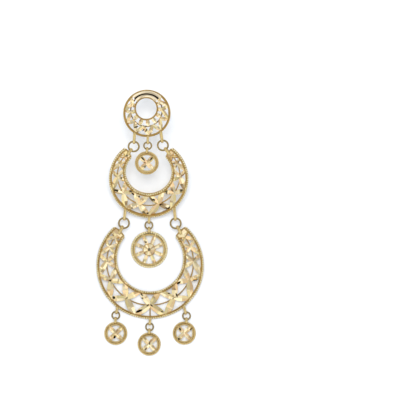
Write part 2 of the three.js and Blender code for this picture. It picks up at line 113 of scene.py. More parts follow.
LARGE = {"outside": 3.2, "wire": 0.48, "loop_thickness": 0.36, "loop_width": 0.78}
SMALL = {"outside": 2.4, "wire": 0.42, "loop_thickness": 0.34, "loop_width": 0.68}
RINGS = {
    "upper_ring_left": (LARGE, "top_disc", -31.0, "upper_crescent", -1),
    "top_drop_ring": (SMALL, "top_disc", 2.3, "top_drop", TOP),
    "upper_ring_right": (LARGE, "top_disc", 36.0, "upper_crescent", 1),
    "lower_ring_left": (LARGE, "upper_crescent", -36.6, "lower_crescent", -1),
    "medallion_ring": (SMALL, "upper_crescent", 0.5, "medallion", TOP),
    "lower_ring_right": (LARGE, "upper_crescent", 40.0, "lower_crescent", 1),
    "bottom_ring_left": (SMALL, "lower_crescent", -37.5, "bottom_drop_left", 182.0),
    "bottom_ring_centre": (SMALL, "lower_crescent", 0.0, "bottom_drop_centre", TOP),
    "bottom_ring_right": (SMALL, "lower_crescent", 39.0, "bottom_drop_right", 170.0),
}
OUTLINES = {
    "top_disc": "disc", "top_drop": "top_drop", "upper_crescent": "upper_outline",
    "medallion": "medallion", "lower_crescent": "lower_outline", "bottom_drop_left": "bottom_drop",
    "bottom_drop_centre": "bottom_drop", "bottom_drop_right": "bottom_drop",
}
DISC_WIRE_PROFILE = ((-0.16, -0.3), (0.16, -0.3), (0.18, -0.1), (0.1, 0.06), (-0.1, 0.06), (-0.18, -0.1))
SPOKE_TURNS = (-104, -76, -49, -22, 6.5, 34, 61, 87, 112)
ZIGZAG_STEP = 35
ZIGZAG_TURNS = range(-117, 140, ZIGZAG_STEP)
RIM_WIDTH = 0.8
MEDALLION_RIM_WIDTH = 1.15
DROP_RIM_WIDTH = 0.95
RIM_HALF_HEIGHT = 0.5
HORN_SHARE = 0.55
HORN_REACH = 0.4  # from the rims' ends to the middle of the wire that rounds a horn
LINK_CLEARANCE = 0.07

# Cuts that the graver left level, so that they mirror nothing but the dark overhead, and that tone 0 also
# paints near-black, a painted reflection of that dark: place in the piece's own plane, length, width and the
# turn of the length from the X axis

LEVEL_CUTS = {
    "top_disc": (
        (-2.83, -3.60, 1.25, 0.34, 22), (-0.95, -4.40, 0.6, 0.3, 55), (-0.15, -4.45, 0.95, 0.34, 62),
    ),
    "top_drop": (
        (-1.02, 1.30, 1.5, 0.36, -43), (1.28, 1.40, 1.5, 0.36, 50),
    ),
    "upper_crescent": (
        (-5.60, 6.95, 0.8, 0.4, 70), (-4.2, -4.05, 0.9, 0.4, -40), (-2.55, -4.85, 0.5, 0.36, 0),
        (1.25, -5.70, 0.95, 0.44, -18), (3.10, -7.10, 0.7, 0.42, 10), (5.4, -7.95, 0.7, 0.4, 50),
        (-0.30, -9.55, 0.55, 0.4, 0),
    ),
    "medallion": ((-0.85, 2.00, 0.6, 0.42, 0),),
    "lower_crescent": (
        (-10.55, -3.90, 0.6, 0.42, -45), (-9.60, -8.40, 0.8, 0.7, -30), (-2.20, -7.60, 0.95, 0.34, -42),
        (-2.05, -8.55, 0.5, 0.34, -30), (-0.62, -10.45, 0.85, 0.32, 35), (0.40, -10.50, 0.85, 0.32, -30),
        (-2.90, -11.95, 1.9, 0.62, 22), (7.60, -4.45, 1.2, 0.5, 35), (11.95, -3.75, 1.3, 0.24, 12),
        (5.00, -7.25, 0.5, 0.4, 0), (7.05, -7.75, 1.15, 0.36, -70), (3.15, -12.05, 0.5, 0.36, 0),
        (6.65, -6.15, 0.4, 0.3, 0), (-6.10, -8.50, 0.5, 0.32, 20),
    ),
    "bottom_drop_left": ((-0.30, -0.95, 0.85, 0.55, 65),),
    "bottom_drop_centre": ((0.12, 0.15, 0.75, 0.26, 90), (-0.85, -1.25, 1.0, 0.28, 45)),
    "bottom_drop_right": (
        (-1.15, 1.05, 0.85, 0.5, -60), (1.75, 1.05, 0.8, 0.3, 55), (-1.45, -1.55, 0.6, 0.5, 0),
    ),
}
LEVEL_CUT_TOP = 0.475
LEVEL_CUT_BASE = 0.1
LEVEL_CUT_FULLNESS = 0.6  # the power that its swell is raised to: less is fuller

# Petals: their forms, and their widths on each piece

PETAL_BASE = -0.4
PETAL_TIP = 0.42  # width of a petal's cut-off ends
PETAL_FULLNESS = 0.62  # the power that its swell is raised to: less is fuller
PETAL_SUMMIT = 0.52  # how far along a petal its four cuts meet
PETAL_FALL = 0.16  # from a petal's middle down to its ends
PETAL_OVERLAP = 0.05  # how far a petal reaches past the middle of the crossing that it springs from
CRESCENT_PETAL_SHARE = 0.36  # a crescent petal's width for its length
SPOKE_WIDTH = 1.08
ZIGZAG_PETAL_WIDTH = 1.0
MEDALLION_PETALS = 8
MEDALLION_PETAL_WIDTH = 0.95
MEDALLION_PETAL_START = 1.2  # out from the medallion's middle, under its hub
MEDALLION_PETAL_END = 0.55  # in from the medallion's edge
DROP_PETAL_WIDTH = 1.15
HUB_PROFILE = ((0.0, -0.4), (1.7, -0.4), (1.7, 0.22), (1.5, 0.42), (0.5, 0.74), (0.42, 0.3), (0.0, 0.3))
HORN_PLATE = {"base": -0.44, "edge": 0.2, "crown": 0.42}

# Wires and beads: radii, and heights over a piece's middle plane

MIDDLE_WIRE = 0.17
MIDDLE_WIRE_HEIGHT = -0.12
HORN_WIRE = 0.2
HORN_WIRE_HEIGHT = 0.18
RIM_WIRE = 0.16
RIM_WIRE_HEIGHT = 0.27
MEDALLION_RIM_WIRE = 0.22
DROP_RIM_WIRE = 0.19
BEAD_HEIGHT = 0.16
BAND_HEIGHT = 0.12
BAND_CROWN = 0.5
BAND_BASE = -0.48
BAND_TURNS = {"outer": 41.0, "inner": 53.0}  # how far the plain band runs from the top, either way

# How a facet's tone multiplies its gold: 0 is a level facet, painted near-black as a painted reflection of
# the dark overhead, and the others are tones dealt out at random

CUT_TONES_WITH_PAINTED_REFLECTION = (
    (0.0, (0.12, 0.08, 0.05)), (0.12, (0.12, 0.08, 0.05)), (0.2, (0.66, 0.55, 0.42)),
    (0.38, (0.92, 0.78, 0.70)), (0.55, (0.86, 0.86, 0.66)), (0.72, (1.0, 1.0, 1.0)),
    (1.0, (1.0, 1.0, 0.98)),
)

# The stage: the room's light by the height of its direction, from the horizon at 0 to overhead at 1,
# the panel over the earring, and the camera, both placed in metres, with the picture's middle and
# width in millimetres at the surface

ROOM_TONES = (
    (0.06, (0.10, 0.08, 0.05)), (0.15, (0.45, 0.45, 0.45)), (0.32, (0.92, 0.96, 1.02)),
    (0.982, (1.06, 1.10, 1.17)), (0.991, (0.02, 0.015, 0.01)),
)
PANEL = {"place": (0.0, 0.22, 1.0), "size": 0.5, "power": 5.6, "colour": (1.0, 0.99, 0.97)}
CAMERA_HEIGHT = 1.5
CAMERA_SENSOR = 36.0
PICTURE_MIDDLE = (13.22, 6.08)
PIXEL = 0.265
PICTURE_WIDTH = 400 * PIXEL


# Sizes and colours that a user would change

class EarringSizes(PropertyGroup):
    bead: FloatProperty(
        name="Bead", description="Width of a milgrain bead", default=0.5 * MM, unit="LENGTH")
    pitch: FloatProperty(
        name="Bead pitch", description="From one milgrain bead to the next", default=0.60 * MM,
        unit="LENGTH")
    petal_edge: FloatProperty(
        name="Petal edge", description="Height of a petal's edge over its piece's middle",
        default=0.22 * MM, unit="LENGTH")
    petal_ridge: FloatProperty(
        name="Petal ridge", description="Height of the ridge where a petal's cuts meet",
        default=0.46 * MM, unit="LENGTH")
    cut_variety: FloatProperty(
        name="Cut variety", description="How much the slope of one bright cut differs from the next",
        default=0.45, min=0.0, max=1.0, subtype="FACTOR")
    wire_steps: IntProperty(
        name="Wire steps", description="Straight steps in a full turn of round wire", default=96, min=24)


class EarringColours(PropertyGroup):
    cut_gold: FloatVectorProperty(
        name="Bright-cut gold", description="Colour of the freshly cut facets",
        default=(1.0, 0.82, 0.52), subtype="COLOR", min=0.0, max=1.0)
    # Painted shade: a darker copy of the gold, standing in for the dark that the wire mirrors.
    wire_gold_painted_shade: FloatVectorProperty(
        name="Wire gold", description="Colour of the crescents' and the disc's wire",
        default=(0.54, 0.35, 0.11), subtype="COLOR", min=0.0, max=1.0)
    # Painted light: a paler copy of the gold, lifting the beads against the shade between wire and surface.
    bead_gold_painted_light: FloatVectorProperty(
        name="Bead gold", description="Colour of the milgrain beads",
        default=(1.0, 0.90, 0.60), subtype="COLOR", min=0.0, max=1.0)
    # Painted shade: a darker copy of the gold for the medallion's and the drops' rims, the drops' beads and
    # the loops.
    rim_gold_painted_shade: FloatVectorProperty(
        name="Rim gold", description="Colour of the medallion's and the drops' rims and of the loops",
        default=(0.76, 0.58, 0.27), subtype="COLOR", min=0.0, max=1.0)
    # Painted shade: a much darker copy of the gold for the jump rings.
    ring_gold_painted_shade: FloatVectorProperty(
        name="Ring gold", description="Colour of the jump rings",
        default=(0.40, 0.29, 0.12), subtype="COLOR", min=0.0, max=1.0)
    band_gold: FloatVectorProperty(
        name="Band gold", description="Colour of the ear disc's plain mirror-bright band",
        default=(0.92, 0.76, 0.52), subtype="COLOR", min=0.0, max=1.0)
    floor: FloatVectorProperty(
        name="Surface", description="Colour of the surface that the earring lies on",
        default=(0.90, 0.93, 0.97), subtype="COLOR", min=0.0, max=1.0)


# Places on a piece

def rim_point(ellipse, turn, inset=0.0):
    """The place on an outline at a turn, moved in from its edge."""
    x, y, half_width, half_height = ELLIPSES[ellipse]
    angle = radians(turn)
    return Vector((x + (half_width - inset) * sin(angle), y - (half_height - inset) * cos(angle), 0.0))


def plane_of(piece):
    """From a piece's own plane, in millimetres, to the row frame, in metres."""
    x, y, z, slope = PLANES[piece]
    place = Matrix.Translation((x * MM, y * MM, z * MM))
    return place @ Matrix.Rotation(radians(slope), 4, "X") @ Matrix.Scale(MM, 4)


def crescent_edges(spec, share):
    """The middles of a crescent's two rims at a share of the way to a horn."""
    foot = RIM_WIDTH / 2
    outer = rim_point(spec["outline"], share * spec["outline_turn"], foot)
    return outer, rim_point(spec["opening"], share * spec["opening_turn"], -foot)


def crescent_middle(spec, share):
    """The place midway between a crescent's rims at a share of the way to a horn."""
    outer, inner = crescent_edges(spec, share)
    return (outer + inner) / 2


def horn_end(spec, side, steps):
    """The rounded end of a horn, from its outer rim to its inner rim."""
    outer, inner = crescent_edges(spec, side)
    crossing = crescent_middle(spec, side * spec["crossings"][-1])
    outward = (crescent_middle(spec, side) - crossing).normalized()
    return [
        outer.lerp(inner, i / steps) + outward * (HORN_REACH * (0.45 + 0.55 * sin(pi * i / steps)))
        for i in range(steps + 1)
    ]


def loop_foot(piece, place):
    """Where a soldered loop stands: on a horn, for a crescent's -1 and 1, or at a turn of the rim."""
    if piece in CRESCENTS and place in (-1, 1):
        outer, inner = crescent_edges(CRESCENTS[piece], place)
        return outer.lerp(inner, HORN_SHARE)
    return rim_point(OUTLINES[piece], place)


# Shapes

def edges_at(verts):
    """The edges that meet some vertices, each once and always in the same order."""
    return list(dict.fromkeys(edge for vert in verts for edge in vert.link_edges))


def settle_faces(bm, first):
    """Sorts the faces after the first few by their place, so that tones are dealt out alike every time."""
    faces = list(bm.faces)
    later = sorted(faces[first:], key=lambda face: face.calc_center_median().dot(SORTING_LINE))
    order = {face: i for i, face in enumerate(faces[:first] + later)}
    bm.faces.sort(key=order.get)


def spun_rim(bm, ellipse, profile, start=-TOP, sweep=360.0, steps=96):
    """A closed profile of (inset, height) taken round an outline."""
    x, y, half_width, half_height = ELLIPSES[ellipse]
    facing = Matrix.Rotation(radians(start - 90.0), 4, "Z")
    verts = [bm.verts.new(facing @ Vector((half_width - inset, 0.0, height))) for inset, height in profile]
    edges = [bm.edges.new(pair) for pair in zip(verts, verts[1:] + verts[:1])]
    whole = sweep >= 360.0
    before = set(bm.verts) - set(verts)
    bmesh.ops.spin(
        bm, geom=verts + edges, cent=(0, 0, 0), axis=(0, 0, 1), angle=radians(sweep), steps=steps,
        use_merge=whole, use_duplicate=False)
    new = [v for v in bm.verts if v not in before]
    if not whole:
        ends = [e for e in edges_at(new) if e.is_boundary]
        bmesh.ops.holes_fill(bm, edges=ends, sides=0)
    bmesh.ops.scale(bm, vec=(1.0, half_height / half_width, 1.0), verts=new)
    bmesh.ops.translate(bm, vec=(x, y, 0.0), verts=new)


def turned(bm, profile, steps):
    """A line of (radius, height) from the axis and back to it, taken a full turn round it."""
    verts = [bm.verts.new((radius, 0.0, height)) for radius, height in profile]
    edges = [bm.edges.new(pair) for pair in zip(verts, verts[1:])]
    bmesh.ops.spin(
        bm, geom=verts + edges, cent=(0, 0, 0), axis=(0, 0, 1), angle=2 * pi, steps=steps,
        use_merge=True, use_duplicate=False)
    bmesh.ops.remove_doubles(bm, verts=bm.verts, dist=1e-5)
    settle_faces(bm, 0)


def bead_row(bm, ellipse, inset, radius, pitch, start=-TOP, sweep=360.0):
    """Milgrain: round beads side by side along an outline."""
    _, _, half_width, half_height = ELLIPSES[ellipse]
    length = radians(sweep) * ((half_width + half_height) / 2 - inset)
    count = max(1, round(length / pitch))
    whole = sweep >= 360.0
    for i in range(count if whole else count + 1):
        place = rim_point(ellipse, start + sweep * i / count, inset)
        bmesh.ops.create_uvsphere(
            bm, u_segments=8, v_segments=6, radius=radius,
            matrix=Matrix.Translation((place.x, place.y, BEAD_HEIGHT)))


def shaped_slab(bm, along, across, place, base):
    """A grid whose points are placed by a share along and a side across, given a wall down to a base."""
    made = bmesh.ops.create_grid(bm, x_segments=along, y_segments=across, size=0.5)["verts"]
    for vert in made:
        vert.co = place(vert.co.x + 0.5, vert.co.y * 2.0)
    faces = list(dict.fromkeys(face for vert in made for face in vert.link_faces))
    before = len(bm.faces)
    pulled = bmesh.ops.extrude_face_region(bm, geom=faces, use_keep_orig=True)["geom"]
    for item in pulled:
        if isinstance(item, bmesh.types.BMVert):
            item.co.z = base
    settle_faces(bm, before)


def petal(bm, start, end, width, sizes, chance):
    """A leaf between two places, its top cut to four flat facets that meet in a ridge."""
    along = (end - start).normalized()
    start = start - along * PETAL_OVERLAP
    length = (end - start).length
    side = Vector((-along.y, along.x, 0.0))
    ridge = sizes.petal_ridge / MM
    edge = sizes.petal_edge / MM
    variety = sizes.cut_variety
    slopes = {
        (lengthways, sideways): (
            (ridge - edge) / (width / 2) * (1.0 + variety * chance.uniform(-1.0, 1.0)),
            PETAL_FALL / (length / 2) * (1.0 + 1.5 * variety * chance.uniform(-1.0, 1.0)),
        )
        for lengthways in (-1, 1) for sideways in (-1, 1)
    }

    def place(share, across):
        swell = sin(pi * share ** 0.95) ** PETAL_FULLNESS if 0.0 < share < 1.0 else 0.0
        half = PETAL_TIP / 2 + (width - PETAL_TIP) / 2 * swell
        offset = (share - PETAL_SUMMIT) * length
        lean, fall = slopes[(1 if offset > 0 else -1, 1 if across > 0 else -1)]
        height = ridge - fall * abs(offset) - lean * abs(across) * half
        spot = start + along * (share * length) + side * (across * half)
        return Vector((spot.x, spot.y, height))

    shaped_slab(bm, 12, 2, place, PETAL_BASE)


def level_cuts(bm, piece):
    """Small leaf-shaped cuts whose tops lie level, whatever the slope of their piece."""
    fall = tan(radians(PLANES[piece][3]))
    for x, y, length, width, turn in LEVEL_CUTS[piece]:
        along = Vector((cos(radians(turn)), sin(radians(turn)), 0.0))
        side = Vector((-along.y, along.x, 0.0))

        def place(share, across):
            swell = sin(pi * share) ** LEVEL_CUT_FULLNESS if 0.0 < share < 1.0 else 0.0
            half = width / 2 * (0.25 + 0.75 * swell)
            spot = along * ((share - 0.5) * length) + side * (across * half)
            return Vector((x + spot.x, y + spot.y, LEVEL_CUT_TOP - spot.y * fall))

        shaped_slab(bm, 8, 1, place, LEVEL_CUT_BASE)


def swept_wire(bm, points, radius, sides=10):
    """Round wire along a line of places, its ends closed."""
    def station(i):
        before = points[max(i - 1, 0)]
        after = points[min(i + 1, len(points) - 1)]
        turn = (after - before).to_track_quat("Z", "Y").to_matrix().to_4x4()
        return Matrix.Translation(points[i]) @ turn

    made = bmesh.ops.create_circle(bm, segments=sides, radius=radius, matrix=station(0))["verts"]
    ring = edges_at(made)
    first = list(ring)
    for i in range(1, len(points)):
        step = station(i) @ station(i - 1).inverted()
        pulled = bmesh.ops.extrude_edge_only(bm, edges=ring)["geom"]
        verts = [item for item in pulled if isinstance(item, bmesh.types.BMVert)]
        ring = [item for item in pulled if isinstance(item, bmesh.types.BMEdge)]
        bmesh.ops.transform(bm, matrix=step, verts=verts)
    bmesh.ops.holes_fill(bm, edges=first + ring, sides=0)


def torus(bm, radius, wire, steps, sides, stretch=0.0, flat=1.0, place=Matrix()):
    """A round link in a plane of its own, drawn out along X by a stretch and widened to a strip."""
    section = Matrix.Translation((radius, 0.0, 0.0)) @ Matrix.Rotation(radians(90.0), 4, "X")
    made = bmesh.ops.create_circle(bm, segments=sides, radius=wire, matrix=section)["verts"]
    before = set(bm.verts) - set(made)
    edges = edges_at(made)
    bmesh.ops.spin(
        bm, geom=made + edges, cent=(0, 0, 0), axis=(0, 0, 1), angle=2 * pi, steps=steps,
        use_merge=True, use_duplicate=False)
    new = [v for v in bm.verts if v not in before]
    bend_start = radius * sin(pi / steps)
    for vert in new:
        vert.co.x += stretch * max(-1.0, min(1.0, vert.co.x / bend_start))
        vert.co.z *= flat
    bmesh.ops.transform(bm, matrix=place, verts=new)


def finish_piece(bm, name, node, materials, plane=None, sharp=32.0, tone_seed=None):
    """Closes a piece's mesh, sets it in its plane and gives it its metal."""
    bmesh.ops.remove_doubles(bm, verts=bm.verts, dist=1e-6)
    bmesh.ops.recalc_face_normals(bm, faces=bm.faces)
    if tone_seed is not None:
        slope = radians(PLANES[plane][3])
        paint_cuts(bm, random.Random(tone_seed), Vector((0.0, sin(slope), cos(slope))))
    if plane:
        bmesh.ops.transform(bm, matrix=plane_of(plane), verts=bm.verts)
    mesh = bpy.data.meshes.new(name)
    bm.to_mesh(mesh)
    bm.free()
    for material in materials:
        mesh.materials.append(material)
    mesh.shade_smooth()
    mesh.set_sharp_from_angle(angle=radians(sharp))
    piece = bpy.data.objects.new(name, mesh)
    bpy.context.scene.collection.objects.link(piece)
    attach(piece, "root")
    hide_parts(node)


def paint_cuts(bm, chance, level):
    """Gives each flat facet one tone, kept on its corners: 0, a painted dark reflection of the overhead, if
    it lies level, and otherwise a random tone up to 1.
    """
    layer = bm.loops.layers.float_color.new("cut_tone_and_painted_reflection")
    done = set()
    for face in bm.faces:
        if face in done:
            continue
        # A facet that lies level gets tone 0: painted reflection of the dark overhead.
        tone = 0.0 if face.normal.dot(level) > 0.9999 else chance.uniform(0.2, 1.0)
        front = [face]
        while front:
            here = front.pop()
            if here in done:
                continue
            done.add(here)
            for loop in here.loops:
                loop[layer] = (tone, tone, tone, 1.0)
            for edge in here.edges:
                for other in edge.link_faces:
                    if other not in done and other.normal.dot(here.normal) > 0.9995:
                        front.append(other)


# Metals

def node_kit(name):
    """A new material, its node tree and its shader."""
    material = bpy.data.materials.new(name)
    material.use_nodes = True
    tree = material.node_tree
    return material, tree, tree.nodes["Principled BSDF"]


def fill_ramp(node, tones):
    """Gives a ramp its colours, from a table of (position, colour)."""
    elements = node.color_ramp.elements
    for element, (position, colour) in zip(elements, (tones[0], tones[-1])):
        element.position = position
        element.color = (*colour, 1.0)
    for position, colour in tones[1:-1]:
        elements.new(position).color = (*colour, 1.0)


def gold(name, colour, roughness, grain, wear, tones=None):
    """Yellow gold: its colour shifts a little over each millimetre, and a fine grain breaks its polish."""
    _, tree, shader = node_kit(name)
    nodes, links = tree.nodes, tree.links
    where = nodes.new("ShaderNodeTexCoord")
    drift = nodes.new("ShaderNodeTexNoise")
    drift.inputs["Scale"].default_value = 420.0
    drift.inputs["Detail"].default_value = 3.0
    links.new(where.outputs["Object"], drift.inputs["Vector"])
    ramp = nodes.new("ShaderNodeValToRGB")
    low = [c * (1.0 - wear) for c in colour]
    ramp.color_ramp.elements[0].position = 0.3
    ramp.color_ramp.elements[0].color = (low[0], low[1] * 0.97, low[2] * 0.9, 1.0)
    ramp.color_ramp.elements[1].position = 0.7
    ramp.color_ramp.elements[1].color = (*[min(1.0, c * (1.0 + wear * 0.5)) for c in colour], 1.0)
    links.new(drift.outputs["Fac"], ramp.inputs["Fac"])
    colour_out = ramp.outputs["Color"]
    # Facet tones multiply the colour: tone 0 paints level facets near-black, a painted reflection; the rest
    # are random tones.
    if tones:
        tone = nodes.new("ShaderNodeAttribute")
        tone.attribute_name = "cut_tone_and_painted_reflection"
        facets = nodes.new("ShaderNodeValToRGB")
        fill_ramp(facets, tones)
        links.new(tone.outputs["Fac"], facets.inputs["Fac"])
        mix = nodes.new("ShaderNodeMix")
        mix.data_type = "RGBA"
        mix.blend_type = "MULTIPLY"
        mix.inputs["Factor"].default_value = 1.0
        links.new(colour_out, mix.inputs["A"])
        links.new(facets.outputs["Color"], mix.inputs["B"])
        colour_out = mix.outputs["Result"]
    links.new(colour_out, shader.inputs["Base Color"])
    fine = nodes.new("ShaderNodeTexNoise")
    fine.inputs["Scale"].default_value = 2600.0
    fine.inputs["Detail"].default_value = 4.0
    links.new(where.outputs["Object"], fine.inputs["Vector"])
    polish = nodes.new("ShaderNodeMapRange")
    polish.inputs["To Min"].default_value = roughness * 0.7
    polish.inputs["To Max"].default_value = roughness * 1.3
    links.new(fine.outputs["Fac"], polish.inputs["Value"])
    links.new(polish.outputs["Result"], shader.inputs["Roughness"])
    bump = nodes.new("ShaderNodeBump")
    bump.inputs["Strength"].default_value = grain
    bump.inputs["Distance"].default_value = 0.02 * MM
    links.new(fine.outputs["Fac"], bump.inputs["Height"])
    links.new(bump.outputs["Normal"], shader.inputs["Normal"])
    shader.inputs["Metallic"].default_value = 1.0


def metals():
    """The finishes of the earring's gold, made once: darker copies are painted shade for the wire, the rims,
    loops and rings, and a paler copy is painted light for the beads.
    """
    if "bright_cut_gold" not in bpy.data.materials:
        colours = bpy.context.scene.earring_colours
        gold("bright_cut_gold", colours.cut_gold, 0.14, 0.08, 0.06, CUT_TONES_WITH_PAINTED_REFLECTION)
        gold("wire_gold_painted_shade", colours.wire_gold_painted_shade, 0.18, 0.12, 0.10)
        gold("rim_gold_painted_shade", colours.rim_gold_painted_shade, 0.18, 0.12, 0.10)
        gold("bead_gold_painted_light", colours.bead_gold_painted_light, 0.26, 0.10, 0.08)
        gold("ring_gold_painted_shade", colours.ring_gold_painted_shade, 0.22, 0.10, 0.10)
        gold("band_gold", colours.band_gold, 0.08, 0.03, 0.06)
    return [
        bpy.data.materials[name] for name in ("bright_cut_gold", "wire_gold_painted_shade", "rim_gold_painted_shade", "bead_gold_painted_light")]


# Parts of a piece

def wire_rim_profile(width=RIM_WIDTH, wire=RIM_WIRE):
    """A rim's section: a strip on edge, a seat for the beads on its outer side and a round wire inside."""
    h = RIM_HALF_HEIGHT
    middle = width - wire
    crown = [
        (middle - wire * cos(radians(a)), RIM_WIRE_HEIGHT + wire * sin(radians(a)))
        for a in range(0, 181, 30)
    ]
    return [
        (0.07, -h), (0.0, -h + 0.07), (0.0, 0.08), (0.05, 0.12), (middle - wire - 0.02, 0.12),
        *crown, (width, -h + 0.07), (width - 0.07, -h),
    ]


def plain_rim_profile(width, crown=0.46):
    """A plain rim's section: flat below, its top a smooth half round."""
    h = RIM_HALF_HEIGHT
    half = width / 2
    top = [
        (half - half * cos(radians(a)), 0.08 + (crown - 0.08) * sin(radians(a))) for a in range(0, 181, 20)
    ]
    return [(0.06, -h), (0.0, -h + 0.06), *top, (width, -h + 0.06), (width - 0.06, -h)]


def mirrored(profile):
    """A section whose insets run the other way, for a rim round an opening."""
    return [(-inset, height) for inset, height in profile]


def loops_of(piece, metal):
    """The loops soldered to a piece, each closed round its jump ring."""
    bm = bmesh.new()
    for ring, (size, above, turn, below, place) in RINGS.items():
        if piece not in (above, below):
            continue
        feet = [(above, loop_foot(above, turn)), (below, loop_foot(below, place))]
        upper, lower = (plane_of(name) @ foot for name, foot in feet)
        fall = (lower.z - upper.z) / (lower.y - upper.y)
        low, high = (Vector(corner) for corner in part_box(ring))
        into_piece = plane_of(piece).inverted()
        centre = into_piece @ ((low + high) / 2)
        normal = (into_piece.to_3x3() @ Vector((0.0, -fall, 1.0))).normalized()
        foot = dict(feet)[piece]
        towards = centre - foot
        reach = towards.length
        towards.normalize()
        upwards = (normal - towards * normal.dot(towards)).normalized()
        radius = (size["outside"] - size["wire"]) / 2
        thickness = size["loop_thickness"]
        bend = size["wire"] / 2 + LINK_CLEARANCE + thickness / 2
        far = reach - radius + bend
        near = -RIM_WIDTH / 2
        basis = Matrix((towards, upwards, towards.cross(upwards))).transposed().to_4x4()
        middle = Matrix.Translation(foot + towards * (far + near) / 2)
        stretch = (far - near) / 2 - bend
        flat = size["loop_width"] / thickness
        torus(bm, bend, thickness / 2, 28, 12, stretch, flat, middle @ basis)
    finish_piece(bm, f"{piece}_loops", piece, [metal], piece, 180.0)


# Operators

class EARRING_OT_crescents(Operator):
    """Two crescents of lattice between beaded rims, closed at the horns"""
    bl_idname = "earring.crescents"
    bl_label = "Crescents"

    def execute(self, context):
        sizes = context.scene.earring_sizes
        cut, wire, rim, bead = metals()
        for piece, spec in CRESCENTS.items():
            chance = random.Random(spec["seed"])
            self.rims(piece, spec, sizes, wire)
            self.beads(piece, spec, sizes, bead)
            loops_of(piece, rim)
            self.lattice(piece, spec, sizes, cut, chance)
            self.middle(piece, spec, wire)
        return {"FINISHED"}

    def rims(self, piece, spec, sizes, wire):
        bm = bmesh.new()
        outer, inner = spec["outline_turn"], spec["opening_turn"]
        steps = sizes.wire_steps
        spun_rim(bm, spec["outline"], wire_rim_profile(), -outer, 2 * outer, steps)
        spun_rim(bm, spec["opening"], mirrored(wire_rim_profile()), -inner, 2 * inner, steps)
        finish_piece(bm, f"{piece}_rims", piece, [wire], piece, 40.0)

    def beads(self, piece, spec, sizes, bead):
        bm = bmesh.new()
        radius = sizes.bead / MM / 2
        pitch = sizes.pitch / MM
        for edge, turn, inset in (("outline", "outline_turn", radius), ("opening", "opening_turn", -radius)):
            bead_row(bm, spec[edge], inset, radius, pitch, -spec[turn], 2 * spec[turn])
        finish_piece(bm, f"{piece}_milgrain", piece, [bead], piece, 180.0)

    def lattice(self, piece, spec, sizes, cut, chance):
        bm = bmesh.new()
        mirror = [-share for share in spec["crossings"] if share > 0]
        crossings = sorted(mirror) + list(spec["crossings"])
        ends = [-1.0, *crossings, 1.0]
        for i, share in enumerate(crossings):
            crossing = crescent_middle(spec, share)
            for neighbour in (ends[i], ends[i + 2]):
                for foot in crescent_edges(spec, (share + neighbour) / 2):
                    width = CRESCENT_PETAL_SHARE * (foot - crossing).length
                    petal(bm, crossing, foot, width, sizes, chance)
        level_cuts(bm, piece)
        for side in (-1, 1):
            self.horn_plate(bm, spec, side)
        finish_piece(bm, f"{piece}_lattice", piece, [cut], piece, 6.0, spec["seed"])

    def horn_plate(self, bm, spec, side):
        """The faceted plate that closes a horn beyond its last crossing."""
        last = side * spec["crossings"][-1]
        plan = [crescent_middle(spec, last), *crescent_edges(spec, (last + side) / 2)]
        plan += horn_end(spec, side, 4)
        crowns = [crescent_middle(spec, side), crescent_middle(spec, (last + side) / 2)]
        walls = (HORN_PLATE["base"], HORN_PLATE["edge"])
        spots = [spot + Vector((0.0, 0.0, height)) for spot in plan for height in walls]
        spots += [crown + Vector((0.0, 0.0, HORN_PLATE["crown"])) for crown in crowns]
        before = len(bm.faces)
        verts = [bm.verts.new(spot) for spot in spots]
        hull = bmesh.ops.convex_hull(bm, input=verts)
        inside = [item for item in hull["geom_interior"] if isinstance(item, bmesh.types.BMVert)]
        bmesh.ops.delete(bm, geom=inside, context="VERTS")
        settle_faces(bm, before)

    def middle(self, piece, spec, wire):
        bm = bmesh.new()
        count = 72
        points = [crescent_middle(spec, 2 * i / count - 1) for i in range(count + 1)]
        for point in points:
            point.z = MIDDLE_WIRE_HEIGHT
        swept_wire(bm, points, MIDDLE_WIRE)
        for side in (-1, 1):
            edge = [spot + Vector((0.0, 0.0, HORN_WIRE_HEIGHT)) for spot in horn_end(spec, side, 16)]
            swept_wire(bm, edge, HORN_WIRE)
        if spec["strut"]:
            foot = crescent_edges(spec, 0)[0]
            swept_wire(bm, [crescent_middle(spec, 0), foot], MIDDLE_WIRE)
        finish_piece(bm, f"{piece}_wires", piece, [wire], piece, 40.0)


